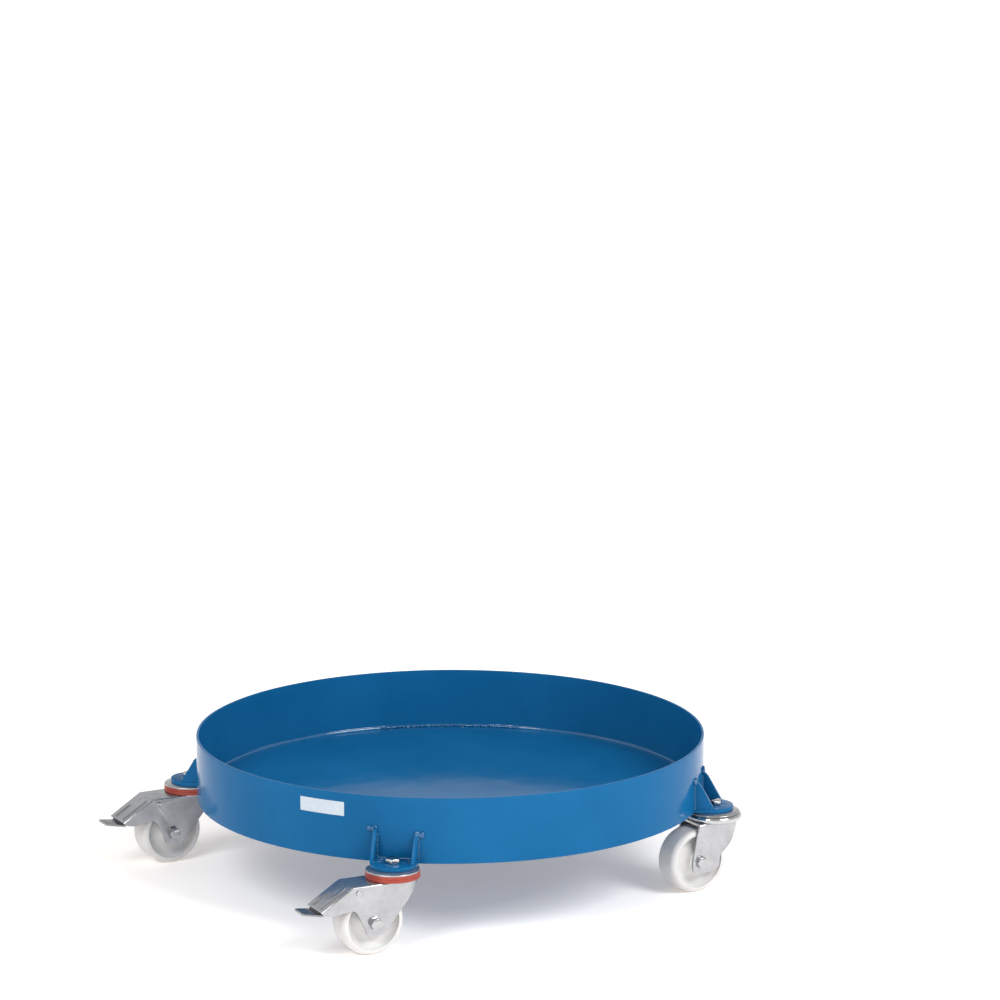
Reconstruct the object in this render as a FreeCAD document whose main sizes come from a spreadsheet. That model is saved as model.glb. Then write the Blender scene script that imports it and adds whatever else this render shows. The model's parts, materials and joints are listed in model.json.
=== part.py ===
import FreeCAD, Part
import math
import os
import re

import Sketcher
from FreeCAD import Placement, Rotation, Vector

# Drum dolly: a round sheet-steel pan on four swivel casters, two of them braked.
# Frame: origin at the centre of the pan floor's upper face, +Z up, millimetres.
# Each caster is drawn in its own frame: origin on the swivel axis at the underside
# of its bracket plate, +X along the trail towards the wheel, +Z up.

doc = FreeCAD.newDocument("drum_dolly")

# ---------------------------------------------------------------- driving dimensions
DIMENSIONS = (
    ("pan_radius", 318, "outside radius of the pan wall"),
    ("pan_sheet", 3, "thickness of the wall and of the floor"),
    ("pan_height", 80, "height of the rolled wall strip"),
    ("floor_weld_leg", 3, "leg of the fillet weld round the floor"),
    ("swivel_reach", 336, "pan axis to swivel axis"),
    ("bracket_width", 56, "width of a bracket plate"),
    ("bracket_sheet", 5, "thickness of a bracket plate"),
    ("bracket_inset", 4, "end rounding centre inboard of the swivel axis"),
    ("gusset_sheet", 4.5, "thickness of a gusset"),
    ("gusset_spread", 54, "over the outer faces of a pair of gussets"),
    ("gusset_height", 36, "height of a gusset on the wall"),
    ("gusset_trim", 5, "how much lower one gusset of the front bracket ends"),
    ("gusset_reach", 23.5, "length of a gusset on its plate"),
    ("bead", 3, "leg of the bracket welds"),
    ("king_radius", 5, "M10 king bolt"),
    ("king_flats", 16, "across flats of the M10 head and nut"),
    ("king_head", 6.4, "height of the M10 head"),
    ("king_nut", 6, "height of the thin M10 nut"),
    ("king_end", 1.2, "thread showing below the king nut"),
    ("sleeve_radius", 8, "outside radius of the swivel sleeve"),
    ("retainer_radius", 14, "radius of the lower retaining washer"),
    ("retainer_sheet", 2, "thickness of the retaining washer"),
    ("running", 0.05, "radial clearance of a running fit"),
    ("gap", 0.3, "clearance between moving faces"),
    ("head_radius", 32.4, "rim radius of the swivel head plate"),
    ("head_thick", 3.2, "thickness of the swivel head plate"),
    ("ball_radius", 2.9, "swivel bearing balls"),
    ("ball_circle", 22, "radius of the ball circle"),
    ("collar_top", -9.4, "top of the fork's pressed ball track"),
    ("crown_top", -11.6, "upper face of the fork's crown"),
    ("seal_radius", 32.7, "outside radius of the seal ring"),
    ("seal_bottom", -10.8, "lower edge of the seal ring"),
    ("race_radius", 35, "outside radius of the rolled race ring"),
    ("fork_sheet", 2.5, "thickness of the pressed fork"),
    ("fork_half", 21.5, "half of the fork's width outside"),
    ("fork_nose", -8.5, "centre of the fork's round nose"),
    ("bend_round", 2.2, "outside rounding of the fork's bends"),
    ("trail", 33, "swivel axis to wheel axle"),
    ("axle_drop", 59, "bracket plate underside to wheel axle"),
    ("leg_drop", 73, "bracket plate underside to the fork's lower end"),
    ("crease_x", 61, "bend line between crown and brake hood"),
    ("hood_x", 102, "end of the brake hood"),
    ("hood_drop", 25.4, "fall of the hood from crease to end"),
    ("rib_offset", 10.5, "hood stiffening rib from the middle"),
    ("rib_width", 3.4, "width of a hood rib"),
    ("rib_height", 1.5, "height of a hood rib"),
    ("wheel_radius", 40, "tread radius"),
    ("wheel_half", 17.5, "half of the tread width"),
    ("tread_round", 7, "rounding of the tread edges"),
    ("recess_radius", 33, "outer radius of the wheel's dished side"),
    ("web_half", 8, "half of the web thickness at its thinnest"),
    ("hub_radius", 14, "outside radius of the wheel hub"),
    ("hub_half", 18.5, "half of the hub length"),
    ("bush_radius", 9, "outside radius of the hub bush"),
    ("axle_tube_radius", 6, "outside radius of the axle tube"),
    ("axle_radius", 4, "M8 axle bolt"),
    ("axle_flats", 13, "across flats of the M8 head and nut"),
    ("axle_head", 5.3, "height of the M8 head"),
    ("axle_nut", 6.5, "height of the M8 nut"),
    ("axle_end", 1.5, "thread showing beyond the axle nut"),
    ("pivot_x", 54, "brake pivot along the trail"),
    ("pivot_drop", 19.5, "brake pivot below the bracket plate"),
    ("pivot_radius", 2.5, "brake pivot rivet"),
    ("pivot_head_radius", 3.4, "rivet head"),
    ("pivot_head", 1.3, "height of the rivet head"),
    ("lever_sheet", 2.5, "thickness of the brake lever"),
    ("lever_half", 18.3, "half of the lever's width under the hood"),
    ("lever_eye", 3.6, "radius of the lever's eyes"),
    ("tab_sheet", 2, "thickness of the lever's side tabs"),
    ("tongue_x", 122, "tip of the pedal tongue"),
    ("tongue_half", 12.5, "half width of the tongue's tip"),
    ("shoe_radius", 42.8, "brake shoe face from the wheel axle, released"),
    ("shoe_half", 14, "half width of the brake shoe"),
    ("label_length", 60, "blank label along the wall"),
    ("label_height", 17, "height of the blank label"),
    ("label_sheet", 0.3, "thickness of the blank label"),
    ("label_drop", 11, "label below the rim"),
)
CASTERS = (
    # name, bracket azimuth, trail direction, braked
    ("front", -101.0, 207.0, True),
    ("right", -13.0, 211.3, False),
    ("back", 79.0, 208.0, False),
    ("left", 171.0, 209.4, True),
)
LABEL_AZIMUTH = -118.0
BALL_COUNT = 18
TURN = 360.0
RIGHT_ANGLE = 90.0

sheet = doc.addObject("Spreadsheet::Sheet", "Dims")
for row, (alias, size, note) in enumerate(DIMENSIONS, start=1):
    sheet.set(f"A{row}", alias)
    sheet.set(f"B{row}", str(size))
    sheet.set(f"C{row}", note)
    sheet.setAlias(f"B{row}", alias)
doc.recompute()
ALIASES = {alias for alias, _, _ in DIMENSIONS}


def bound(text):
    """An expression over the sheet's aliases, as the document's objects write it."""
    return re.sub(r"[a-z_]+", lambda m: f"Dims.{m.group()}" if m.group() in ALIASES else m.group(), str(text))


def size(text):
    """The present value of an expression over the sheet's aliases."""
    return float(sheet.evalExpression(bound(text)))


def drive(item, **properties):
    """Binds properties of a document object to expressions over the sheet."""
    for name, text in properties.items():
        item.setExpression(name, bound(text))
    return item


NODES = {}


def keep(item, name, placement=None):
    """Marks an object as a sub-part: its Label is the node's name."""
    item.Label = name
    if placement is not None:
        item.Placement = placement
    NODES[name] = item
    return item


# ---------------------------------------------------------------- outlines and solids
def arc_middle(start, end, radius):
    """A point on the shorter arc from start to end; a positive radius bulges left."""
    chord = end.sub(start)
    half = chord.Length / 2
    rise = abs(radius) - math.sqrt(max(radius * radius - half * half, 0.0))
    left = Vector(-chord.y, chord.x, 0).normalize()
    return (start + end) * 0.5 + left * math.copysign(rise, radius)


def outline(sketch, points, arcs=None):
    """A closed outline whose corners and arc radii are bound to the sheet.

    points are (x, y) expressions. arcs maps an edge's number to (radius, side).
    """
    arcs = arcs or {}
    corners = [Vector(size(x), size(y), 0) for x, y in points]
    for index, start in enumerate(corners):
        end = corners[(index + 1) % len(corners)]
        if index in arcs:
            radius, side = arcs[index]
            middle = arc_middle(start, end, side * size(radius))
            sketch.addGeometry(Part.Arc(start, middle, end), False)
        else:
            sketch.addGeometry(Part.LineSegment(start, end), False)

    def begin(index):
        """The vertex of an edge that lies at its first corner."""
        vertex = sketch.getPoint(index, 1)
        return 1 if vertex.distanceToPoint(corners[index]) < 1e-6 else 2

    for index in range(len(corners)):
        after = (index + 1) % len(corners)
        sketch.addConstraint(Sketcher.Constraint("Coincident", index, 3 - begin(index), after, begin(after)))
    for index, (x, y) in enumerate(points):
        for kind, text in (("DistanceX", x), ("DistanceY", y)):
            rule = Sketcher.Constraint(kind, -1, 1, index, begin(index), size(text))
            sketch.setExpression(f"Constraints[{sketch.addConstraint(rule)}]", bound(text))
    for index, (radius, _) in arcs.items():
        rule = Sketcher.Constraint("Radius", index, size(radius))
        sketch.setExpression(f"Constraints[{sketch.addConstraint(rule)}]", bound(radius))
    return sketch


def plane_of(body, role):
    return next(f for f in body.Origin.OriginFeatures if f.Role == role)


def body_sketch(body, role, points, arcs=None):
    sketch = body.newObject("Sketcher::SketchObject", "outline")
    sketch.AttachmentSupport = [(plane_of(body, role), "")]
    sketch.MapMode = "FlatFace"
    return outline(sketch, points, arcs)


def turned(role, points, arcs=None):
    """A body of revolution about the vertical axis of its sketch plane."""
    body = doc.addObject("PartDesign::Body", "turned")
    profile = body_sketch(body, role, points, arcs)
    spin = body.newObject("PartDesign::Revolution", "spin")
    spin.Profile = profile
    spin.ReferenceAxis = (profile, ["V_Axis"])
    spin.Angle = TURN
    return body


def extruded(upright, points, length, arcs=None, symmetric=True):
    """A prism on an outline: upright outlines lie in X and Z, flat ones in X and Y."""
    sketch = outline(doc.addObject("Sketcher::SketchObject", "outline"), points, arcs)
    if upright:
        sketch.Placement = Placement(Vector(), Rotation(Vector(1, 0, 0), RIGHT_ANGLE))
    prism = doc.addObject("Part::Extrusion", "prism")
    prism.Base = sketch
    prism.DirMode = "Custom"
    prism.Dir = Vector(0, 1, 0) if upright else Vector(0, 0, 1)
    prism.Solid = True
    prism.Symmetric = symmetric
    return drive(prism, LengthFwd=length)


def cylinder(radius, height, base=Vector(), axis=Vector(0, 0, 1)):
    item = drive(doc.addObject("Part::Cylinder", "cylinder"), Radius=radius, Height=height)
    item.Placement = Placement(base, Rotation(Vector(0, 0, 1), axis))
    return item


def cross_cylinder(radius, half, x, z):
    """A cylinder across the caster, centred on its middle plane."""
    base = Vector(size(x), -size(half), size(z))
    return cylinder(radius, f"2 * ({half})", base, Vector(0, 1, 0))


def cut(base, *tools):
    item = doc.addObject("Part::Cut", "cut")
    item.Base = base
    item.Tool = tools[0] if len(tools) == 1 else fuse(*tools)
    return item


def fuse(*shapes):
    item = doc.addObject("Part::MultiFuse", "fuse")
    item.Shapes = list(shapes)
    return item


def common(*shapes):
    item = doc.addObject("Part::MultiCommon", "common")
    item.Shapes = list(shapes)
    return item


def group(items):
    """Separate solids that share one node."""
    item = doc.addObject("Part::Compound", "group")
    item.Links = list(items)
    return item


def hexagon(flats, height, base, up=Vector(0, 0, 1)):
    """A hexagon prism with its far corners chamfered at thirty degrees, as on a bolt head."""
    prism = doc.addObject("Part::Prism", "prism")
    prism.Polygon = 6
    drive(prism, Circumradius=f"({flats}) / sqrt(3)", Height=height)
    crown = doc.addObject("Part::Cone", "crown")
    far = f"0.48 * ({flats})"
    drive(crown, Radius1=f"{far} + sqrt(3) * ({height})", Radius2=far, Height=height)
    head = common(prism, crown)
    head.Placement = Placement(base, Rotation(Vector(0, 0, 1), up))
    return head


# ---------------------------------------------------------------- frames of the assembly
def about_z(degrees):
    return Rotation(Vector(0, 0, 1), degrees)


def bracket_frame(azimuth):
    """Pan axis, plate underside, +X outwards through the bracket."""
    return Placement(Vector(0, 0, -size("pan_sheet")), about_z(azimuth))


def caster_frame(azimuth, heading):
    """Swivel axis, plate underside, +X along the trail."""
    reach = about_z(azimuth).multVec(Vector(size("swivel_reach"), 0, -size("pan_sheet")))
    return Placement(reach, about_z(heading))


def wheel_frame(azimuth, heading):
    """Wheel centre, +Y along the axle."""
    offset = Placement(Vector(size("trail"), 0, -size("axle_drop")), Rotation())
    return caster_frame(azimuth, heading) * offset


# ---------------------------------------------------------------- pan
def make_pan():
    inner = "pan_radius - pan_sheet"
    top = "pan_height - pan_sheet"
    wall = turned("XZ_Plane", [(inner, "-pan_sheet"), ("pan_radius", "-pan_sheet"),
                               ("pan_radius", top), (inner, top)])
    keep(wall, "pan_wall")
    edge = f"{inner} - floor_weld_leg"
    floor = turned("XZ_Plane", [("0", "-pan_sheet"), (inner, "-pan_sheet"), (edge, "0"), ("0", "0")])
    keep(floor, "pan_floor")
    bead = turned("XZ_Plane", [(edge, "0"), (inner, "-pan_sheet"), (inner, "floor_weld_leg")])
    keep(bead, "floor_weld")


def make_label():
    """A blank plate rolled to the wall."""
    base = Vector(0, 0, size("pan_height - pan_sheet - label_drop - label_height"))
    outer = cylinder("pan_radius + label_sheet", "label_height", base)
    angle = "label_length / pan_radius * 180 / pi"
    drive(outer, Angle=angle)
    inner = cylinder("pan_radius", "label_height", base)
    keep(cut(outer, inner), "blank_label", Placement(Vector(), about_z(LABEL_AZIMUTH - size(angle) / 2)))


# ---------------------------------------------------------------- brackets
def make_bracket(name, azimuth):
    """A round-ended plate under the king bolt, and the two gussets that hold it to the wall."""
    half = "bracket_width / 2"
    foot = f"sqrt(pan_radius^2 - ({half})^2)"
    centre = "swivel_reach - bracket_inset"
    plate = extruded(
        False,
        [(foot, f"-({half})"), (centre, f"-({half})"), (f"{centre} + {half}", "0"), (centre, half),
         (foot, half)],
        "bracket_sheet",
        {1: (half, -1), 2: (half, -1), 4: ("pan_radius", 1)},
        symmetric=False,
    )
    hole = cylinder("king_radius", "bracket_sheet", Vector(size("swivel_reach"), 0, 0))
    keep(cut(plate, hole), f"bracket_plate_{name}", bracket_frame(azimuth))

    wall_x = "pan_radius"
    ears = []
    for side in (-1, 1):
        top = "bracket_sheet + gusset_height"
        if (name, side) == ("front", 1):
            top += " - gusset_trim"
        ear = extruded(
            True,
            [(f"{wall_x} - pan_sheet", "bracket_sheet"), (f"{wall_x} + gusset_reach", "bracket_sheet"),
             (f"{wall_x} + 0.27 * gusset_reach", f"{top} - 0.18 * gusset_height"), (wall_x, top),
             (f"{wall_x} - pan_sheet", top)],
            "gusset_sheet",
        )
        ear.Placement = Placement(Vector(0, side * size("(gusset_spread - gusset_sheet) / 2"), 0), Rotation())
        ears.append(cut(ear, cylinder("pan_radius", "pan_height")))
    keep(group(ears), f"gussets_{name}", bracket_frame(azimuth))


def wedge(corner, along, legs, length):
    """A straight weld bead: a triangle with two legs, pushed along a run."""
    points = [corner, corner + legs[0], corner + legs[1], corner]
    return Part.Face(Part.makePolygon(points)).extrude(along * length)


def bracket_bead(azimuth):
    """The welds inside one bracket: along both gussets, and along the wall between them."""
    leg = size("bead")
    level = size("bracket_sheet")
    inside = size("gusset_spread / 2 - gusset_sheet")
    wall = size("pan_radius")
    foot = math.sqrt(wall * wall - inside * inside)
    pieces = []
    for side in (-1, 1):
        corner = Vector(foot - leg, side * inside, level)
        inward = Vector(0, -side * leg, 0)
        upward = Vector(0, 0, leg)
        pieces.append(wedge(corner, Vector(1, 0, 0), (inward, upward), size("gusset_reach") - leg))
        height = 0.8 * size("gusset_height")
        pieces.append(wedge(corner, Vector(0, 0, 1), (inward, Vector(2 * leg, 0, 0)), height))
    triangle = [Vector(wall - leg, 0, level), Vector(wall + leg, 0, level),
                Vector(wall, 0, level + leg), Vector(wall - leg, 0, level + leg),
                Vector(wall - leg, 0, level)]
    sweep = 2 * math.degrees(math.asin(inside / wall))
    arc = Part.Face(Part.makePolygon(triangle)).revolve(Vector(), Vector(0, 0, 1), sweep)
    arc.rotate(Vector(), Vector(0, 0, 1), -sweep / 2)
    slot = Part.makeBox(2 * wall, 2 * inside, size("pan_height"), Vector(0, -inside, 0))
    bead = pieces[0].multiFuse(pieces[1:] + [arc]).common(slot).cut(
        Part.makeCylinder(wall, size("pan_height")))
    bead = bead.removeSplitter()
    bead.Placement = bracket_frame(azimuth)
    return bead


def make_bracket_welds():
    beads = doc.addObject("Part::Feature", "beads")
    beads.Shape = Part.makeCompound([bracket_bead(azimuth) for _, azimuth, _, _ in CASTERS])
    keep(beads, "bracket_welds")


# ---------------------------------------------------------------- swivel bearing
def sleeve_length():
    """From the plate's underside to the retaining washer."""
    return "fork_sheet + gap - crown_top"


def make_king_set():
    """King bolts, their nuts, the swivel sleeves and the retaining washers: one node each."""
    bolts, nuts, sleeves, washers = [], [], [], []
    washer_top = f"-({sleeve_length()})"
    nut_top = f"{washer_top} - retainer_sheet"
    bolt_end = f"{nut_top} - king_nut - king_end"
    for _, azimuth, heading, _ in CASTERS:
        frame = caster_frame(azimuth, heading)
        shank = cylinder("king_radius", f"bracket_sheet - ({bolt_end})", Vector(0, 0, size(bolt_end)))
        head = hexagon("king_flats", "king_head", Vector(0, 0, size("bracket_sheet")))
        bolts.append(fuse(shank, head))
        nut = hexagon("king_flats", "king_nut", Vector(0, 0, size(nut_top)), Vector(0, 0, -1))
        nuts.append(cut(nut, cylinder("king_radius", "3 * king_nut",
                                      Vector(0, 0, size(f"{nut_top} - 2 * king_nut")))))
        tube = cylinder("sleeve_radius", sleeve_length(), Vector(0, 0, size(washer_top)))
        sleeves.append(cut(tube, cylinder("king_radius", sleeve_length(), Vector(0, 0, size(washer_top)))))
        disc = cylinder("retainer_radius", "retainer_sheet", Vector(0, 0, size(nut_top)))
        washers.append(cut(disc, cylinder("king_radius", "retainer_sheet", Vector(0, 0, size(nut_top)))))
        for item in (bolts[-1], nuts[-1], sleeves[-1], washers[-1]):
            item.Placement = frame
    keep(group(bolts), "king_bolts")
    keep(group(nuts), "king_nuts")
    keep(group(sleeves), "swivel_sleeves")
    keep(group(washers), "retaining_washers")


def make_head(name, frame, braked):
    """The fixed upper race, pressed from plate, with a bevelled or a rounded shoulder."""
    under = "-head_thick"
    flat, drop, arcs = (0.88, 0.45, {}) if braked else (0.8, 0.75, {1: ("12", 1)})
    points = [("sleeve_radius", "0"), (f"{flat} * head_radius", "0"),
              ("head_radius", f"-{drop} * head_thick"), ("head_radius", under), ("sleeve_radius", under)]
    keep(turned("XZ_Plane", points, arcs), f"swivel_head_{name}", frame)


def make_seal(name, frame):
    """The two-lipped seal ring of a braked caster, fixed under its head plate."""
    inner = "seal_radius - 2.5"
    middle = "(seal_bottom - head_thick) / 2"
    ring = turned("XZ_Plane", [(inner, "-head_thick"), ("seal_radius", "-head_thick"),
                               ("seal_radius", f"{middle} + 0.4"), ("seal_radius - 0.6", middle),
                               ("seal_radius", f"{middle} - 0.4"), ("seal_radius", "seal_bottom"),
                               (inner, "seal_bottom")])
    keep(ring, f"seal_ring_{name}", frame)


def make_race_ring(name, frame):
    """The rolled lower race of an unbraked caster, which turns with its fork."""
    inner = "ball_circle + ball_radius + 0.6"
    top = "-head_thick - 2 * gap"
    waist = "(crown_top - head_thick) / 2"
    ring = turned("XZ_Plane", [(inner, "crown_top"), ("race_radius - 2", "crown_top"), ("race_radius", waist),
                               ("race_radius - 3", top), (inner, top)],
                  {1: ("4.5", -1), 2: ("4.5", -1)})
    keep(ring, f"race_ring_{name}", frame)


def make_balls(name, frame):
    """The swivel's ring of balls, resting on the fork's track."""
    balls = []
    level = size("collar_top + ball_radius + running")
    for index in range(BALL_COUNT):
        ball = drive(doc.addObject("Part::Sphere", "ball"), Radius="ball_radius")
        spot = about_z(TURN * index / BALL_COUNT).multVec(Vector(size("ball_circle"), 0, level))
        ball.Placement = Placement(spot, Rotation())
        balls.append(ball)
    keep(group(balls), f"swivel_balls_{name}", frame)


# ---------------------------------------------------------------- forks
def nose_plan(half, reach):
    """The fork from above: straight sides and a half-round nose."""
    points = [(reach, f"-({half})"), (reach, half), ("fork_nose", half),
              (f"fork_nose - ({half})", "0"), ("fork_nose", f"-({half})")]
    return extruded(False, points, "4 * leg_drop", {2: (half, -1), 3: (half, -1)})


def bend_edges(skin):
    """The numbers of the edges where the crown and hood bend into the sides and the nose."""
    crown = size("crown_top")
    crease = size("crease_x")
    half = size("fork_half")
    found = []
    for number, edge in enumerate(skin.Shape.Edges, start=1):
        ends = [edge.valueAt(edge.FirstParameter), edge.valueAt(edge.LastParameter)]
        on_crown = all(abs(point.z - crown) < 0.01 for point in ends)
        on_slope = all(abs(abs(point.y) - half) < 0.01 and point.x > crease - 0.01 for point in ends)
        on_slope = on_slope and all(point.z > crown - size("hood_drop") - 0.01 for point in ends)
        across = abs(ends[0].x - ends[1].x) < 0.01
        if (on_crown and not across) or (on_slope and not across):
            found.append(number)
    return found


def fork_shell(outer, arcs, inner):
    """A pressed shell: the side outline and the plan rounded together, bent round, hollowed by the sheet."""
    reach = "2 * hood_x"
    skin = common(extruded(True, outer, "2 * fork_half", arcs), nose_plan("fork_half", reach))
    cavity_half = "fork_half - fork_sheet"
    cavity = common(extruded(True, inner, f"2 * ({cavity_half})"), nose_plan(cavity_half, reach))
    doc.recompute()
    bends = doc.addObject("Part::Fillet", "bends")
    bends.Base = skin
    bends.Edges = [(number, size("bend_round"), size("bend_round")) for number in bend_edges(skin)]
    return cut(bends, cavity)


def fork_holes(braked):
    """King sleeve, axle and brake pivot holes."""
    king = cylinder("sleeve_radius + running", "4 * -crown_top", Vector(0, 0, size("8 * crown_top / 3")))
    holes = [king, cross_cylinder("axle_radius", "2 * fork_half", "trail", "-axle_drop")]
    if braked:
        holes.append(cross_cylinder("pivot_radius", "2 * fork_half", "pivot_x", "-pivot_drop"))
    return holes


def hood_rib(side, start, end):
    """A pressed rib on the hood, from one fraction of its slope to another."""
    fall = math.degrees(math.atan2(size("hood_drop"), size("hood_x - crease_x")))
    slope = math.hypot(size("hood_drop"), size("hood_x - crease_x"))
    rib = drive(doc.addObject("Part::Box", "rib"), Width="rib_width", Height="2 * rib_height")
    rib.Length = slope * (end - start)
    turn = Rotation(Vector(0, 1, 0), fall)
    crease = Vector(size("crease_x"), side * size("rib_offset") - size("rib_width") / 2, size("crown_top"))
    rib.Placement = Placement(crease + turn.multVec(Vector(slope * start, 0, -size("rib_height"))), turn)
    return rib


def track_collar():
    """The pressed ball track that stands up from the crown."""
    base = Vector(0, 0, size("crown_top - fork_sheet"))
    return cylinder("ball_circle + ball_radius + 0.5", "collar_top - crown_top + fork_sheet", base)


def make_braked_fork(name, frame):
    """Fork and brake hood in one pressing, with two ribs on the hood."""
    hood_end = "crown_top - hood_drop"
    tip = [("hood_x - 1.5", f"{hood_end} - 1.5"), ("0.92 * hood_x", f"{hood_end} - 4.5"),
           ("0.84 * hood_x", f"{hood_end} - 5.5"), ("crease_x + 1", f"{hood_end} - 3")]
    leg = [("crease_x - 5", f"{hood_end} - 7"), ("trail + 16", "-axle_drop + 1.5"),
           ("trail + 11.5", "-leg_drop + 4"), ("trail + 7.5", "-leg_drop"), ("trail - 9", "-leg_drop"),
           ("trail - 15", "-leg_drop + 4")]
    nose = [("fork_nose - 10.5", "-24.5"), ("fork_nose - 18.5", "crown_top - 4"),
            ("fork_nose - fork_half", "crown_top - 4")]
    arcs = {3: ("8", 1), 4: ("14", 1), 6: ("7", -1), 9: ("5", 1), 11: ("9", 1)}
    outer = [("fork_nose - fork_half", "crown_top"), ("crease_x", "crown_top"),
             ("hood_x", hood_end)] + tip + leg + nose
    below = "crown_top - fork_sheet"
    lip = "fork_sheet * 0.42"
    inner = [("2 * fork_nose - fork_half", below), (f"crease_x - {lip}", below),
             (f"hood_x - {lip} + 2 * (hood_x - crease_x)", f"{below} - 3 * hood_drop"),
             ("2 * hood_x", "-2 * leg_drop"), ("2 * fork_nose - fork_half", "-2 * leg_drop")]
    collar = track_collar()
    ribs = [hood_rib(-1, 0.45, 0.92), hood_rib(1, 0.12, 0.92)]
    fork = cut(fuse(fork_shell(outer, arcs, inner), collar, *ribs), *fork_holes(True))
    keep(fork, f"fork_{name}", frame)


def make_plain_fork(name, frame):
    """Fork of an unbraked caster: its crown ends in a straight edge over the wheel."""
    leg = [("trail + 6", "-28"), ("trail + 8.5", "-43"), ("trail + 11", "-55"), ("trail + 11.5", "-65"),
           ("trail + 2.5", "-leg_drop - 1.5"), ("trail - 18", "-leg_drop + 0.5"), ("trail - 28", "-64"),
           ("trail - 31", "-52"), ("fork_nose - 8.5", "-30")]
    nose = [("fork_nose - 18.5", "crown_top - 4"), ("fork_nose - fork_half", "crown_top - 4")]
    arcs = {5: ("9", 1), 7: ("12", 1), 8: ("14", -1), 9: ("60", 1)}
    outer = [("fork_nose - fork_half", "crown_top"), ("trail + 1.5", "crown_top")] + leg + nose
    below = "crown_top - fork_sheet"
    inner = [("2 * fork_nose - fork_half", below), ("2 * hood_x", below),
             ("2 * hood_x", "-2 * leg_drop"), ("2 * fork_nose - fork_half", "-2 * leg_drop")]
    fork = cut(fuse(fork_shell(outer, arcs, inner), track_collar()), *fork_holes(False))
    keep(fork, f"fork_{name}", frame)


# ---------------------------------------------------------------- axle and wheel
def make_axle(name, frame):
    """M8 bolt with its head on the +Y side, the nut on the other, and the tube between the legs."""
    end = "fork_half + axle_nut + axle_end"
    axis = Vector(0, 1, 0)
    centre = Vector(size("trail"), 0, -size("axle_drop"))
    shank = cylinder("axle_radius", f"fork_half + {end}", centre - axis * size(end), axis)
    head = hexagon("axle_flats", "axle_head", centre + axis * size("fork_half"), axis)
    keep(fuse(shank, head), f"axle_bolt_{name}", frame)
    nut = hexagon("axle_flats", "axle_nut", centre - axis * size("fork_half"), -axis)
    bore = cross_cylinder("axle_radius", "2 * fork_half", "trail", "-axle_drop")
    keep(cut(nut, bore), f"axle_nut_{name}", frame)
    between = "fork_half - fork_sheet"
    tube = cut(cross_cylinder("axle_tube_radius", between, "trail", "-axle_drop"),
               cross_cylinder("axle_radius", between, "trail", "-axle_drop"))
    keep(tube, f"axle_tube_{name}", frame)


def make_wheel(name, frame):
    """A moulded wheel with round tread edges and dished sides, on its hub bush."""
    tread = "wheel_half - tread_round"
    shoulder = "wheel_radius - tread_round"
    right = [("bush_radius", "hub_half"), ("hub_radius", "hub_half"), ("hub_radius + 1.5", "wheel_half - 4"),
             ("recess_radius - 8", "web_half"), ("recess_radius", "wheel_half - 1.5"),
             (shoulder, "wheel_half"), ("wheel_radius", tread)]
    left = [(radius, f"-({across})") for radius, across in reversed(right)]
    dish = ("14", -1)
    edge = ("tread_round", 1)
    wheel = turned("XY_Plane", right + left, {2: dish, 3: dish, 5: edge, 7: edge, 9: dish, 10: dish})
    keep(wheel, f"wheel_{name}", frame)
    inner = "axle_tube_radius + running"
    bush = turned("XY_Plane", [(inner, "-hub_half"), ("bush_radius", "-hub_half"),
                               ("bush_radius", "hub_half"), (inner, "hub_half")])
    keep(bush, f"hub_bush_{name}", frame)


# ---------------------------------------------------------------- brake
def slope_point(along, below):
    """A point under the hood: along its slope from the crease, and below its upper face."""
    run = "(hood_x - crease_x)"
    slope = f"sqrt({run}^2 + hood_drop^2)"
    x = f"crease_x + ({along}) * {run} / {slope} - ({below}) * hood_drop / {slope}"
    z = f"crown_top - ({along}) * hood_drop / {slope} - ({below}) * {run} / {slope}"
    return x, z


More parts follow.
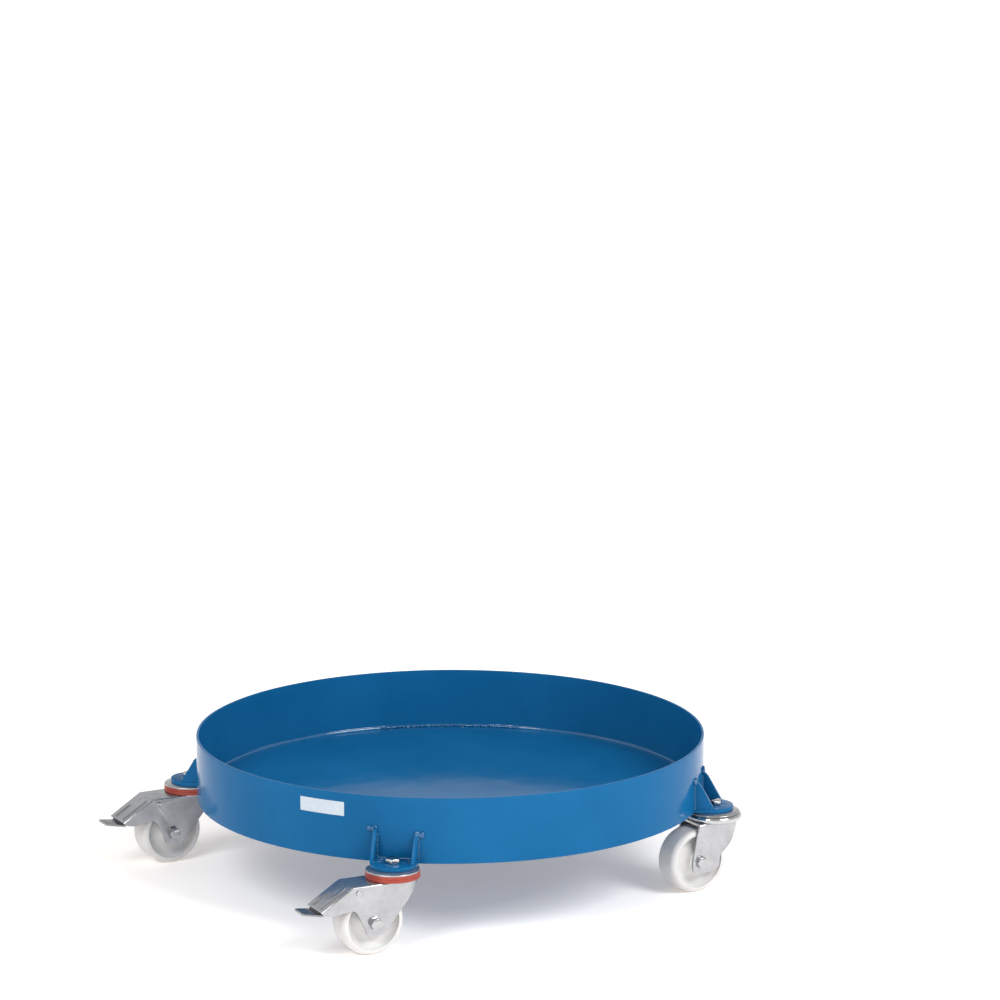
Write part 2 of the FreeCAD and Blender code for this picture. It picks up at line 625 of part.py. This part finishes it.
def make_brake(name, frame):
    """Pedal lever under the hood, its shoe, and the rivet they turn on."""
    top = "fork_sheet + 1.5"
    under = f"{top} + lever_sheet"
    strip = [slope_point("-1", top), slope_point("49", top), ("tongue_x", "crown_top - hood_drop"),
             ("tongue_x", "crown_top - hood_drop - lever_sheet"), slope_point("49", under),
             slope_point("-1", under)]
    blade = extruded(True, strip, "2 * lever_half")
    plan = extruded(False, [("pivot_x - 10", "-lever_half"), ("hood_x - 4", "-lever_half"),
                            ("hood_x", "-lever_half + 2"), ("tongue_x - 2", "-tongue_half"),
                            ("tongue_x", "-tongue_half + 2"), ("tongue_x", "tongue_half - 2"),
                            ("tongue_x - 2", "tongue_half"), ("hood_x", "lever_half - 2"),
                            ("hood_x - 4", "lever_half"), ("pivot_x - 10", "lever_half")], "4 * leg_drop")
    tabs = []
    for side in (-1, 1):
        eye = cylinder("lever_eye", "tab_sheet",
                       Vector(size("pivot_x"), -size("tab_sheet / 2"), -size("pivot_drop")), Vector(0, 1, 0))
        web = extruded(True, [("pivot_x - 1", "-pivot_drop + lever_eye - 0.1"), slope_point("0", top),
                              slope_point("20", under), slope_point("14", f"{under} + 3"),
                              ("pivot_x + 1", "-pivot_drop - lever_eye + 0.1")], "tab_sheet")
        tab = fuse(eye, web)
        tab.Placement = Placement(Vector(0, side * size("lever_half - tab_sheet / 2"), 0), Rotation())
        tabs.append(tab)
    bore = cross_cylinder("pivot_radius + running", "fork_half", "pivot_x", "-pivot_drop")
    keep(cut(fuse(common(blade, plan), *tabs), bore), f"brake_lever_{name}", frame)

    block = extruded(True, [slope_point("6", under), slope_point("20", under),
                            slope_point("19", f"{under} + 8"),
                            slope_point("6", f"{under} + 8")], "2 * shoe_half")
    face = cross_cylinder("shoe_radius", "fork_half", "trail", "-axle_drop")
    keep(cut(block, face), f"brake_shoe_{name}", frame)

    shank = cross_cylinder("pivot_radius", "fork_half", "pivot_x", "-pivot_drop")
    heads = []
    for side in (-1, 1):
        spot = Vector(size("pivot_x"), side * size("fork_half"), -size("pivot_drop"))
        heads.append(cylinder("pivot_head_radius", "pivot_head", spot, Vector(0, side, 0)))
    keep(fuse(shank, *heads), f"brake_pivot_{name}", frame)


# ---------------------------------------------------------------- assembly
def make_caster(name, azimuth, heading, braked):
    frame = caster_frame(azimuth, heading)
    make_head(name, frame, braked)
    make_balls(name, frame)
    if braked:
        make_seal(name, frame)
        make_braked_fork(name, frame)
        make_brake(name, frame)
    else:
        make_race_ring(name, frame)
        make_plain_fork(name, frame)
    make_axle(name, frame)
    make_wheel(name, wheel_frame(azimuth, heading))


def write_parts():
    """Writes each sub-part to its own file, once every object has computed."""
    failed = [item.Name for item in doc.Objects if "Invalid" in item.State or "Error" in item.State]
    if failed:
        raise SystemExit(f"objects failed to compute: {failed}")
    for name, item in NODES.items():
        if item.Shape.isNull() or not item.Shape.isValid() or item.Shape.Volume <= 0:
            raise SystemExit(f"{name} has no valid solid")
    os.makedirs("parts", exist_ok=True)
    for name, item in NODES.items():
        item.Shape.exportStep(f"parts/{name}.step")


make_pan()
make_label()
for name, azimuth, heading, braked in CASTERS:
    make_bracket(name, azimuth)
    make_caster(name, azimuth, heading, braked)
make_king_set()
make_bracket_welds()
doc.recompute()
write_parts()
print(f"{len(NODES)} parts written")
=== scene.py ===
"""Looks of the drum dolly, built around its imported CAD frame. Metres, in the row frame."""

import json
import math
import random

import bmesh
import bpy
from mathutils import Matrix, Vector, noise


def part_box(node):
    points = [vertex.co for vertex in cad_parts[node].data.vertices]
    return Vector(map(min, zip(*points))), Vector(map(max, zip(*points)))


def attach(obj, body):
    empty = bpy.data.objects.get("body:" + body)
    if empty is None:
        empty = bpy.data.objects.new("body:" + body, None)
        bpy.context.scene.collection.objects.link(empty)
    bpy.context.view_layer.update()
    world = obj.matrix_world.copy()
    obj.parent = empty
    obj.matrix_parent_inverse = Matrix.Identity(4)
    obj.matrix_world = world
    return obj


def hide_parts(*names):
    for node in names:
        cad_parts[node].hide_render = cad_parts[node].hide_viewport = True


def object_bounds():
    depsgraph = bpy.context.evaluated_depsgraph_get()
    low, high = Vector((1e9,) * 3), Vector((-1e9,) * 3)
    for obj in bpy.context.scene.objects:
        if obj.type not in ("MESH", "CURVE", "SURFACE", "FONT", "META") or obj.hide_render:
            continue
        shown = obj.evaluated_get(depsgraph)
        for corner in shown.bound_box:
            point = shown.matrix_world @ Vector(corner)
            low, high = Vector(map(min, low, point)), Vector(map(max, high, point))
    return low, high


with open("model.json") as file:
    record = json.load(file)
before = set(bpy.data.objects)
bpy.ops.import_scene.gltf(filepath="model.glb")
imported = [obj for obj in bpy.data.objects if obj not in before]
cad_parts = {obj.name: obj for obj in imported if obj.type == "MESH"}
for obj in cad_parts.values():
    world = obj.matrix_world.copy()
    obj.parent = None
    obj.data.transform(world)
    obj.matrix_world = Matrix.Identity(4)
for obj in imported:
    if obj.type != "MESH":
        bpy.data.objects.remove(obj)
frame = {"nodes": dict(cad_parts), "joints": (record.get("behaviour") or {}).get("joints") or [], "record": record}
cad_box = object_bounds()

MM = 0.001
CASTERS = ("front", "right", "back", "left")
JOINTS = {joint["name"]: joint for joint in frame["joints"]}
BODY_OF = {node: body for body, nodes in frame["record"]["behaviour"]["bodies"].items() for node in nodes}


# ---------------------------------------------------------------- materials
def links_of(name):
    """A new node material: (material, its nodes, its link function, its Principled shader)."""
    made = bpy.data.materials.new(name)
    made.use_nodes = True
    nodes = made.node_tree.nodes
    return made, nodes, made.node_tree.links.new, nodes["Principled BSDF"]


def place(nodes, link, stretch=(1, 1, 1)):
    """The piece's own coordinates in metres, stretched for grain."""
    coordinates = nodes.new("ShaderNodeTexCoord")
    mapping = nodes.new("ShaderNodeMapping")
    mapping.inputs["Scale"].default_value = stretch
    link(coordinates.outputs["Object"], mapping.inputs["Vector"])
    return mapping.outputs["Vector"]


def clouds(nodes, link, vector, scale, detail=3.0, rough=0.55):
    """Noise with features about one metre over scale across."""
    texture = nodes.new("ShaderNodeTexNoise")
    texture.inputs["Scale"].default_value = scale
    texture.inputs["Detail"].default_value = detail
    texture.inputs["Roughness"].default_value = rough
    link(vector, texture.inputs["Vector"])
    return texture.outputs["Fac"]


def shades(nodes, link, value, colours, stops):
    """A colour ramp over a value."""
    ramp = nodes.new("ShaderNodeValToRGB")
    points = ramp.color_ramp.elements
    while len(points) < len(colours):
        points.new(0.5)
    for point, colour, stop in zip(points, colours, stops):
        point.position = stop
        point.color = (*colour, 1)
    link(value, ramp.inputs["Fac"])
    return ramp.outputs["Color"]


def spread(nodes, link, value, low, high):
    """Noise's usual range mapped onto low to high."""
    mapped = nodes.new("ShaderNodeMapRange")
    mapped.inputs["From Min"].default_value = 0.3
    mapped.inputs["From Max"].default_value = 0.7
    mapped.inputs["To Min"].default_value = low
    mapped.inputs["To Max"].default_value = high
    link(value, mapped.inputs["Value"])
    return mapped.outputs["Result"]


def relief(nodes, link, shader, layers):
    """Bumps in a chain onto a shader: each layer is (height value, its depth in metres, strength)."""
    normal = None
    for height, depth, strength in layers:
        bump = nodes.new("ShaderNodeBump")
        bump.inputs["Distance"].default_value = depth
        bump.inputs["Strength"].default_value = strength
        link(height, bump.inputs["Height"])
        if normal is not None:
            link(normal, bump.inputs["Normal"])
        normal = bump.outputs["Normal"]
    link(normal, shader.inputs["Normal"])


def paint(name, deep, bright, rough, waves, index):
    """Gloss stove enamel: slow colour drift, orange peel, and the sheet's slow waves."""
    made, nodes, link, shader = links_of(name)
    vector = place(nodes, link)
    drift = clouds(nodes, link, vector, 7, 4)
    link(shades(nodes, link, drift, (deep, bright), (0.32, 0.68)), shader.inputs["Base Color"])
    link(spread(nodes, link, clouds(nodes, link, vector, 26, 4), *rough), shader.inputs["Roughness"])
    shader.inputs["IOR"].default_value = index
    peel = clouds(nodes, link, vector, 520, 1.5)
    slow = clouds(nodes, link, vector, 16, 1)
    relief(nodes, link, shader, ((slow, waves, 0.5), (peel, 0.00006, 0.5)))
    return made


def zinc(name, dark, light, rough, grain=(30, 30, 30), depth=0.00004, metal=1.0):
    """Zinc-plated steel: cloudy plating, with a fine rolled grain."""
    made, nodes, link, shader = links_of(name)
    shader.inputs["Metallic"].default_value = metal
    vector = place(nodes, link)
    cloud = clouds(nodes, link, vector, 60, 5, 0.65)
    link(shades(nodes, link, cloud, (dark, light), (0.3, 0.7)), shader.inputs["Base Color"])
    link(spread(nodes, link, clouds(nodes, link, vector, 95, 4), *rough), shader.inputs["Roughness"])
    rolled = clouds(nodes, link, place(nodes, link, grain), 12, 3)
    slow = clouds(nodes, link, vector, 55, 2)
    relief(nodes, link, shader, ((slow, 0.0004, 0.35), (rolled, depth, 0.6)))
    return made


def moulded(name, dark, light, rough, glow=0.0, depth=0.00008):
    """Moulded plastic or rubber: flow marks and a fine skin."""
    made, nodes, link, shader = links_of(name)
    vector = place(nodes, link)
    flow = clouds(nodes, link, vector, 45, 4)
    link(shades(nodes, link, flow, (dark, light), (0.3, 0.7)), shader.inputs["Base Color"])
    link(spread(nodes, link, clouds(nodes, link, vector, 140, 3), *rough), shader.inputs["Roughness"])
    shader.inputs["Subsurface Weight"].default_value = glow
    shader.inputs["Subsurface Scale"].default_value = 0.004
    relief(nodes, link, shader, ((clouds(nodes, link, vector, 700, 2), depth, 0.4),))
    return made


SLOTS = {
    # a name, two tints, the range of roughness, and then what each function adds
    "blue_paint": paint("dolly_blue", (0.0045, 0.089, 0.226), (0.0075, 0.109, 0.268), (0.10, 0.17),
                        0.0012, 1.15),
    "blue_weld": paint("dolly_blue_weld", (0.004, 0.078, 0.195), (0.007, 0.10, 0.25), (0.04, 0.10),
                       0.0004, 1.65),
    "zinc_sheet": zinc("zinc_sheet", (0.37, 0.376, 0.392), (0.47, 0.478, 0.496), (0.17, 0.27),
                       (4, 60, 60), 0.00004, 0.88),
    "zinc_rolled": zinc("zinc_rolled", (0.48, 0.485, 0.495), (0.60, 0.605, 0.615), (0.06, 0.12)),
    "zinc_bolt": zinc("zinc_bolt", (0.38, 0.385, 0.395), (0.52, 0.525, 0.535), (0.12, 0.22)),
    # zinc_pedal is the sheet zinc darkened to about half: painted shade for the pedal's top, which lies in shadow
    # under the fork's hood
    "zinc_pedal": zinc("zinc_pedal", (0.20, 0.205, 0.21), (0.30, 0.305, 0.31), (0.20, 0.32),
                       (60, 4, 60), 0.00004, 0.85),
    "ground_steel": zinc("ground_steel", (0.42, 0.42, 0.43), (0.55, 0.55, 0.56), (0.20, 0.32)),
    "red_seal": moulded("red_seal", (0.25, 0.026, 0.014), (0.31, 0.036, 0.018), (0.34, 0.46), 0.05),
    "white_nylon": moulded("white_nylon", (0.56, 0.555, 0.55), (0.63, 0.625, 0.62), (0.28, 0.42), 0.08),
    "nylon_bush": moulded("nylon_bush", (0.66, 0.66, 0.63), (0.74, 0.74, 0.71), (0.35, 0.5), 0.1),
    "brake_rubber": moulded("brake_rubber", (0.018, 0.018, 0.018), (0.035, 0.035, 0.035), (0.55, 0.75)),
    "white_label": moulded("white_label", (0.425, 0.49, 0.555), (0.445, 0.51, 0.575), (0.22, 0.30),
                           0.0, 0.00002),
}
NODE_SLOT = {node: frame["nodes"][node].data.materials[0].name for node in frame["nodes"]}


def finish_piece(piece, body, slot, *nodes):
    """Gives a piece its material and its body, and hides the CAD nodes it stands for."""
    piece.data.materials.clear()
    piece.data.materials.append(SLOTS[slot])
    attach(piece, body)
    if nodes:
        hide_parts(*nodes)
    return piece


# ---------------------------------------------------------------- mesh helpers
def new_piece(name, shell):
    """A new object on a bmesh, with smooth faces."""
    mesh = bpy.data.meshes.new(name)
    shell.to_mesh(mesh)
    shell.free()
    mesh.shade_smooth()
    piece = bpy.data.objects.new(name, mesh)
    bpy.context.scene.collection.objects.link(piece)
    return piece


def applied(piece):
    """Applies the piece's modifiers to its mesh."""
    graph = bpy.context.evaluated_depsgraph_get()
    mesh = bpy.data.meshes.new_from_object(piece.evaluated_get(graph))
    piece.modifiers.clear()
    old = piece.data
    piece.data = mesh
    bpy.data.meshes.remove(old)
    mesh.name = piece.name
    return piece


def refined(node, width=0.0004, rounds=2, crease=35):
    """A copy of a CAD node with its sharp edges broken, in place of the node."""
    shell = bmesh.new()
    shell.from_mesh(frame["nodes"][node].data)
    bmesh.ops.remove_doubles(shell, verts=shell.verts, dist=0.003 * MM)
    flat = math.radians(0.6)
    bmesh.ops.dissolve_limit(shell, angle_limit=flat, verts=shell.verts, edges=shell.edges)
    piece = new_piece(node + "_finished", shell)
    if width:
        bevel = piece.modifiers.new("edges", "BEVEL")
        bevel.width = width
        bevel.segments = rounds
        bevel.limit_method = "ANGLE"
        bevel.angle_limit = math.radians(crease)
        bevel.harden_normals = True
        bevel.use_clamp_overlap = True
        applied(piece)
    else:
        piece.data.set_sharp_from_angle(angle=math.radians(crease))
    return finish_piece(piece, BODY_OF[node], NODE_SLOT[node], node)


def lathe(name, profile, steps, wave=None):
    """A closed (radius, height) outline turned about the pan's axis; wave moves it outwards."""
    shell = bmesh.new()
    rings = []
    for step in range(steps):
        angle = 2 * math.pi * step / steps
        across = Vector((math.cos(angle), math.sin(angle), 0))
        ring = []
        for radius, height in profile:
            push = wave(angle, height) if wave else 0.0
            ring.append(shell.verts.new(across * (radius + push) + Vector((0, 0, height))))
        rings.append(ring)
    for step, ring in enumerate(rings):
        after = rings[(step + 1) % steps]
        for index in range(len(profile)):
            following = (index + 1) % len(profile)
            shell.faces.new((ring[index], after[index], after[following], ring[following]))
    bmesh.ops.recalc_face_normals(shell, faces=shell.faces)
    return new_piece(name, shell)


def rounded(corners, radius, steps=4):
    """A closed outline with each corner rounded by one radius; the corners run round once."""
    outline = []
    count = len(corners)
    for index, corner in enumerate(corners):
        here = Vector(corner)
        before = Vector(corners[index - 1]) - here
        after = Vector(corners[(index + 1) % count]) - here
        cut = min(radius, before.length / 2.05, after.length / 2.05)
        start = here + before.normalized() * cut
        end = here + after.normalized() * cut
        for step in range(steps + 1):
            share = step / steps
            spot = (1 - share) ** 2 * start + 2 * share * (1 - share) * here + share ** 2 * end
            outline.append(tuple(spot))
    return outline


def lumps(name, spots, voxel):
    """Overlapping beads melted into one skin. A spot is (centre, radii, turn about z)."""
    shell = bmesh.new()
    for centre, radii, turn in spots:
        scale = Matrix.Diagonal((*radii, 1))
        stand = Matrix.Translation(centre) @ Matrix.Rotation(turn, 4, "Z") @ scale
        bmesh.ops.create_icosphere(shell, subdivisions=2, radius=1.0, matrix=stand)
    piece = new_piece(name, shell)
    melt = piece.modifiers.new("melt", "REMESH")
    melt.mode = "VOXEL"
    melt.voxel_size = voxel
    melt.use_smooth_shade = True
    soften = piece.modifiers.new("soften", "SMOOTH")
    soften.factor = 0.5
    soften.iterations = 2
    applied(piece)
    piece.data.shade_smooth()
    return piece


# ---------------------------------------------------------------- pan
floor_low, floor_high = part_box("pan_floor")
wall_low, wall_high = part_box("pan_wall")
outer = wall_high.x
sheet = floor_high.z - floor_low.z
inner = outer - sheet
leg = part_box("floor_weld")[1].z


label_low, label_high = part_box("blank_label")
label_angle = math.atan2(label_low.y + label_high.y, label_low.x + label_high.x)


def dent(angle, height):
    """Slow waves of a rolled wall, a few tenths of a millimetre deep, dying away behind the label."""
    off = abs((angle - label_angle + math.pi) % (2 * math.pi) - math.pi)
    share = min(1.0, max(0.0, (math.degrees(off) - 7) / 8))
    spot = Vector((2.2 * math.cos(angle), 2.2 * math.sin(angle), 9 * height))
    return share * 0.35 * MM * noise.noise(spot * 1.7)


def make_wall():
    """The rolled wall, its cut rim just rounded, with enough rows to carry its slow waves."""
    rows = 9
    low, high = wall_low.z, wall_high.z
    corners = rounded([(outer, low), (outer, high), (inner, high), (inner, low)], 0.7 * MM)
    profile = []
    for index, (radius, height) in enumerate(corners):
        profile.append((radius, height))
        after = corners[(index + 1) % len(corners)]
        if abs(after[1] - height) > 10 * MM:
            for row in range(1, rows):
                share = row / rows
                profile.append((radius + share * (after[0] - radius), height + share * (after[1] - height)))
    piece = lathe("rolled_wall", profile, 360, dent)
    finish_piece(piece, "pan", "blue_paint", "pan_wall")


def make_floor():
    """The pressed-in floor plate: nearly flat, with a little spring in the sheet."""
    steps, rings = 180, 26
    shell = bmesh.new()
    reach = inner - 0.2 * MM

    def spring(x, y):
        edge = 1 - (math.hypot(x, y) / reach) ** 4
        return 0.5 * MM * edge * noise.noise(Vector((5 * x, 5 * y, 3.1)))

    middle = shell.verts.new((0, 0, floor_high.z + spring(0, 0)))
    last = None
    for ring in range(1, rings + 1):
        radius = reach * ring / rings
        row = []
        for step in range(steps):
            angle = 2 * math.pi * step / steps
            x, y = radius * math.cos(angle), radius * math.sin(angle)
            row.append(shell.verts.new((x, y, floor_high.z + spring(x, y))))
        for step in range(steps):
            after = (step + 1) % steps
            if last is None:
                shell.faces.new((middle, row[step], row[after]))
            else:
                shell.faces.new((last[step], row[step], row[after], last[after]))
        last = row
    under = [shell.verts.new((v.co.x, v.co.y, floor_low.z)) for v in last]
    centre = shell.verts.new((0, 0, floor_low.z))
    for step in range(steps):
        after = (step + 1) % steps
        shell.faces.new((last[step], under[step], under[after], last[after]))
        shell.faces.new((under[step], centre, under[after]))
    bmesh.ops.recalc_face_normals(shell, faces=shell.faces)
    piece = new_piece("floor_plate", shell)
    piece.data.set_sharp_from_angle(angle=math.radians(40))
    finish_piece(piece, "pan", "blue_paint", "pan_floor")


def make_floor_weld():
    """The paint-filled corner all round, and the rippled stitches at the back and the front."""
    corner = [(inner - leg - 0.6 * MM, floor_high.z)]
    for step in range(7):
        angle = math.radians(90 * step / 6)
        hollow = leg * 0.95
        corner.append((inner - leg + hollow * math.sin(angle), leg - hollow * math.cos(angle)))
    corner += [(inner + 0.2 * MM, leg + 0.6 * MM), (inner + 0.3 * MM, floor_low.z / 2),
               (inner - leg - 0.6 * MM, floor_low.z / 2)]
    fill = lathe("floor_corner", corner, 360, lambda angle, height: 0.25 * MM * noise.noise(
        Vector((60 * math.cos(angle), 60 * math.sin(angle), 0))))
    fill.data.set_sharp_from_angle(angle=math.radians(50))
    finish_piece(fill, "pan", "blue_weld", "floor_weld")
    rng = random.Random(41)
    spots = []
    for start, end in ((74.0, 108.0), (-106.0, -72.0)):
        angle = start
        while angle < end:
            size = rng.uniform(0.85, 1.25)
            about = math.radians(angle)
            reach = inner - rng.uniform(1.2, 2.2) * MM
            centre = Vector((reach * math.cos(about), reach * math.sin(about), rng.uniform(0.8, 1.8) * MM))
            radii = (2.4 * size * MM, 1.5 * size * MM, 2.1 * size * MM)
            spots.append((centre, radii, about + rng.uniform(-0.3, 0.3)))
            angle += rng.uniform(0.42, 0.68)
        for _ in range(26):
            about = math.radians(rng.uniform(start, end))
            reach = inner - rng.uniform(3, 9) * MM
            bead = rng.uniform(0.4, 0.9) * MM
            centre = Vector((reach * math.cos(about), reach * math.sin(about), 0.3 * MM))
            spots.append((centre, (bead,) * 3, 0))
    finish_piece(lumps("floor_stitches", spots, 0.45 * MM), "pan", "blue_weld", "floor_weld")


make_wall()
make_floor()
make_floor_weld()


# ---------------------------------------------------------------- bracket welds
def make_bracket_welds():
    """Rippled beads inside each bracket, tacks at the gusset tops and feet, and a little spatter."""
    plate_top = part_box("bracket_plate_front")[1].z
    gusset_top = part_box("gussets_front")[1].z
    spread_half = 22.5 * MM
    outer_half = 27 * MM
    lower = 5 * MM
    rng = random.Random(7)
    spots = []
    for name in CASTERS:
        swivel = Vector(JOINTS["swivel_" + name]["pos_m"])
        about = math.atan2(swivel.y, swivel.x)
        stand = Matrix.Rotation(about, 4, "Z")

        def bead(x, y, z, radii):
            spots.append((stand @ Vector((x, y, z)), tuple(r * MM for r in radii), about))

        def on_wall(y):
            return math.sqrt(outer * outer - y * y)

        y = -spread_half
        while y < spread_half:
            size = rng.uniform(0.85, 1.2)
            bead(on_wall(y) + 0.7 * MM, y, plate_top + 0.6 * MM, (2.3 * size, 1.7 * size, 2.0 * size))
            y += rng.uniform(1.6, 2.3) * MM
        for side in (-1, 1):
            edge = side * spread_half
            x = on_wall(edge)
            while x < outer + 20 * MM:
                size = rng.uniform(0.8, 1.15)
                bead(x, edge - side * 0.4 * MM, plate_top + 0.4 * MM, (1.6 * size, 1.8 * size, 1.7 * size))
                x += rng.uniform(1.5, 2.2) * MM
            z = plate_top
            while z < gusset_top - 7 * MM:
                size = rng.uniform(0.75, 1.05)
                bead(on_wall(edge) + 0.2 * MM, edge - side * 0.2 * MM, z, (1.5 * size,) * 3)
                z += rng.uniform(1.6, 2.4) * MM
            outside = side * outer_half
            top = gusset_top - (lower if (name, side) == ("front", 1) else 0)
            for _ in range(26):
                size = rng.uniform(1.1, 2.3)
                y = outside + side * rng.uniform(-4.0, 6.5) * MM
                bead(on_wall(y) + rng.uniform(0, 1.5) * MM, y, top + rng.uniform(-4, 2.5) * MM,
                     (size, 0.8 * size, size))
            z = plate_top
            while z < top - 4 * MM:
                size = rng.uniform(0.6, 0.9)
                bead(on_wall(outside) + 0.2 * MM, outside + side * 0.3 * MM, z,
                     (1.5 * size, 1.7 * size, 1.8 * size))
                z += rng.uniform(1.8, 2.6) * MM
            for _ in range(4):
                size = rng.uniform(1.2, 2.2)
                bead(outer + rng.uniform(19, 22) * MM, edge + side * rng.uniform(-0.5, 3) * MM,
                     plate_top + 0.3 * MM, (size, size, 0.8 * size))
        for _ in range(60):
            size = rng.uniform(0.8, 1.5)
            bead(outer + rng.uniform(1, 17) * MM, rng.uniform(-21, -6) * MM, plate_top - 0.2 * MM,
                 (size,) * 3)
        for _ in range(40):
            size = rng.uniform(0.4, 1.0)
            bead(outer + rng.uniform(1, 20) * MM, rng.uniform(-1, 1) * 20 * MM, plate_top + 0.1 * MM,
                 (size,) * 3)
        for _ in range(16):
            y = rng.choice((-1, 1)) * rng.uniform(18, 33) * MM
            size = rng.uniform(0.35, 0.8)
            bead(on_wall(y), y, gusset_top + rng.uniform(-9, 6) * MM, (0.7 * size, size, size))
    finish_piece(lumps("bracket_beads", spots, 0.42 * MM), "pan", "blue_weld", "bracket_welds")


make_bracket_welds()

# ---------------------------------------------------------------- pressed and turned pieces
EDGES = {
    # start of the node's name: (edge round, segments)
    "bracket_plate": (0.7 * MM, 3),
    "gussets": (0.5 * MM, 2),
    "king_bolts": (0.25 * MM, 2),
    "king_nuts": (0.25 * MM, 2),
    "retaining_washers": (0.25 * MM, 2),
    "swivel_sleeves": (0, 0),
    "blank_label": (0, 0),
    "swivel_head": (0.35 * MM, 3),
    "swivel_balls": (0, 0),
    "seal_ring": (0.2 * MM, 2),
    "race_ring": (0, 0),
    "fork": (0.8 * MM, 3),
    "axle_bolt": (0.25 * MM, 2),
    "axle_nut": (0.25 * MM, 2),
    "axle_tube": (0, 0),
    "wheel": (0, 0),
    "hub_bush": (0.3 * MM, 2),
    "brake_lever": (0.4 * MM, 2),
    "brake_shoe": (0.5 * MM, 2),
    "brake_pivot": (0.3 * MM, 2),
}
for node in sorted(frame["nodes"]):
    kind = next((start for start in EDGES if node.startswith(start)), None)
    if kind is not None:
        refined(node, *EDGES[kind])


# ---------------------------------------------------------------- stage
def make_stage():
    """A wide pale floor under the wheels, which glows more with distance so that it ends in white."""
    shell = bmesh.new()
    bmesh.ops.create_grid(shell, x_segments=40, y_segments=40, size=45.0)
    for vert in shell.verts:
        vert.co.z = cad_box[0].z
    ground = new_piece("studio_floor", shell)
    made, nodes, link, shader = links_of("studio_floor")
    vector = place(nodes, link)
    tone = clouds(nodes, link, vector, 3, 3)
    greys = ((0.93, 0.925, 0.925), (0.95, 0.945, 0.945))
    link(shades(nodes, link, tone, greys, (0.3, 0.7)), shader.inputs["Base Color"])
    shader.inputs["Roughness"].default_value = 0.65
    shader.inputs["Specular IOR Level"].default_value = 0.2
    # The floor's glow is painted light: its warm tint lightens and warms the shadow under the dolly, and it grows
    # with distance so the far floor turns white
    shader.inputs["Emission Color"].default_value = (1.0, 0.89, 0.78, 1)
    far = nodes.new("ShaderNodeVectorMath")
    far.operation = "LENGTH"
    link(vector, far.inputs[0])
    lift = nodes.new("ShaderNodeMapRange")
    lift.inputs["From Min"].default_value = 0.55
    lift.inputs["From Max"].default_value = 3.5
    lift.inputs["To Min"].default_value = 0.27
    lift.inputs["To Max"].default_value = 1.0
    link(far.outputs["Value"], lift.inputs["Value"])
    link(lift.outputs["Result"], shader.inputs["Emission Strength"])
    ground.data.materials.append(made)


def make_light(name, spot, aim, size, power, colour=(1, 1, 1)):
    """A soft rectangular light at a spot, facing a point."""
    lamp = bpy.data.lights.new(name, "AREA")
    lamp.shape = "RECTANGLE"
    lamp.size, lamp.size_y = size
    lamp.energy = power
    lamp.color = colour
    item = bpy.data.objects.new(name, lamp)
    item.location = spot
    item.rotation_euler = (Vector(aim) - Vector(spot)).to_track_quat("-Z", "Y").to_euler()
    bpy.context.scene.collection.objects.link(item)


def make_world():
    """A white studio all round, brightest at the horizon."""
    world = bpy.data.worlds.new("studio")
    bpy.context.scene.world = world
    world.use_nodes = True
    nodes = world.node_tree.nodes
    link = world.node_tree.links.new
    coordinates = nodes.new("ShaderNodeTexCoord")
    parts = nodes.new("ShaderNodeSeparateXYZ")
    link(coordinates.outputs["Generated"], parts.inputs["Vector"])
    mapped = nodes.new("ShaderNodeMapRange")
    mapped.inputs["From Min"].default_value = 0.0
    mapped.inputs["From Max"].default_value = 0.9
    mapped.inputs["To Min"].default_value = 1.0
    mapped.inputs["To Max"].default_value = 0.45
    link(parts.outputs["Z"], mapped.inputs["Value"])
    link(mapped.outputs["Result"], nodes["Background"].inputs["Strength"])
    nodes["Background"].inputs["Color"].default_value = (1.0, 1.0, 1.0, 1)


def make_camera():
    """A long lens in front of the dolly, looking down eleven degrees."""
    lens = bpy.data.cameras.new("camera")
    lens.lens = 144
    lens.sensor_width = 36
    lens.clip_start = 0.1
    lens.clip_end = 60
    camera = bpy.data.objects.new("camera", lens)
    camera.location = (0.0623, -4.862, 1.350)
    camera.rotation_euler = (math.radians(90 - 11.38), 0, 0)
    bpy.context.scene.collection.objects.link(camera)
    bpy.context.scene.camera = camera


make_stage()
make_world()
make_light("front_left", (-1.9, -2.8, 3.1), (0, 0, 0), (2.0, 2.0), 94)
make_light("front_right", (2.9, -2.2, 3.0), (0, 0, 0), (2.0, 2.0), 150)
make_camera()
bpy.context.scene.view_settings.view_transform = "Standard"
bpy.context.scene.view_settings.look = "None"
